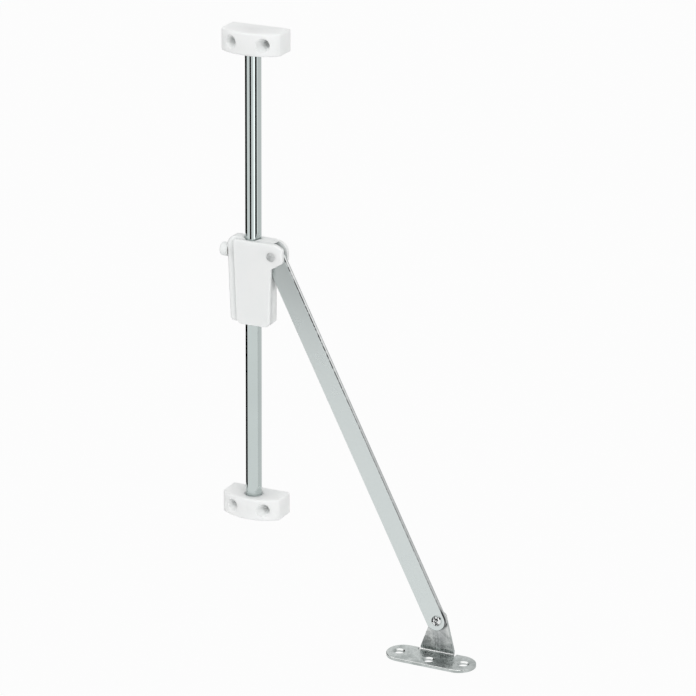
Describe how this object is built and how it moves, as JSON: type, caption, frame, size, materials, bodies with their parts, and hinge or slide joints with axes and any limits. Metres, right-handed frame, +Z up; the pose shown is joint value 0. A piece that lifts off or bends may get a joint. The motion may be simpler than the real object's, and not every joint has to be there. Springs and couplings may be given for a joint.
{
  "type": "lid stay",
  "caption": "Braked lid stay: a slider runs on a round rod between two screwed end blocks, and a flat arm joins it to a folded flap bracket.",
  "frame": {"origin": "middle of the four panel screws, on the face of the panel that the end blocks are screwed to", "axes": "+X along the end blocks towards the arm's side, +Y into the panel, +Z up along the rod"},
  "size_m": [0.1422, 0.0246, 0.3071],
  "materials": {
    "polished_rod": "bright polished",
    "white_plastic": "moulded, satin",
    "plated_steel": "zinc plated, satin",
    "bright_plate": "nickel plated",
    "insert_brass": "turned",
    "washer_plastic": "natural",
    "brake_lining": "moulded"
  },
  "bodies": {
    "rail": {"rod": "polished_rod", "top_end_block": "white_plastic", "bottom_end_block": "white_plastic"},
    "slider": {"slider_body": "white_plastic", "slider_cover": "white_plastic", "threaded_insert": "insert_brass", "pivot_rivet": "bright_plate", "front_pivot_washer": "washer_plastic", "rear_pivot_washer": "washer_plastic"},
    "knob": {"adjusting_knob": "white_plastic", "adjusting_screw": "plated_steel"},
    "shoe": {"brake_shoe": "brake_lining"},
    "arm": {"arm": "plated_steel", "bracket_rivet": "bright_plate", "bracket_washer": "washer_plastic"},
    "bracket": {"flap_bracket": "bright_plate"}
  },
  "joints": [
    {"name": "slider_slide", "type": "slide", "parent": "rail", "child": "slider", "axis": [0, 0, 1], "range_m": [-0.0905, 0.0925]},
    {"name": "knob_turn", "type": "hinge", "parent": "slider", "child": "knob", "pos_m": [-0.0128, -0.0085, 0.0126], "axis": [-1, 0, 0], "range_deg": [0, 180]},
    {"name": "shoe_slide", "type": "slide", "parent": "slider", "child": "shoe", "axis": [-1, 0, 0], "range_m": [0, 0.00035]},
    {"name": "arm_pivot", "type": "hinge", "parent": "slider", "child": "arm", "pos_m": [0.0123, -0.0085, 0.0138], "axis": [0, -1, 0], "range_deg": [0, 85]},
    {"name": "bracket_pivot", "type": "hinge", "parent": "arm", "child": "bracket", "pos_m": [0.10241, -0.0085, -0.16228], "axis": [0, -1, 0], "range_deg": [-85, 140]}
  ],
  "couplings": [
    {"joint": "knob_turn", "follows": "shoe_slide", "rad_per_m": 8976}
  ]
}
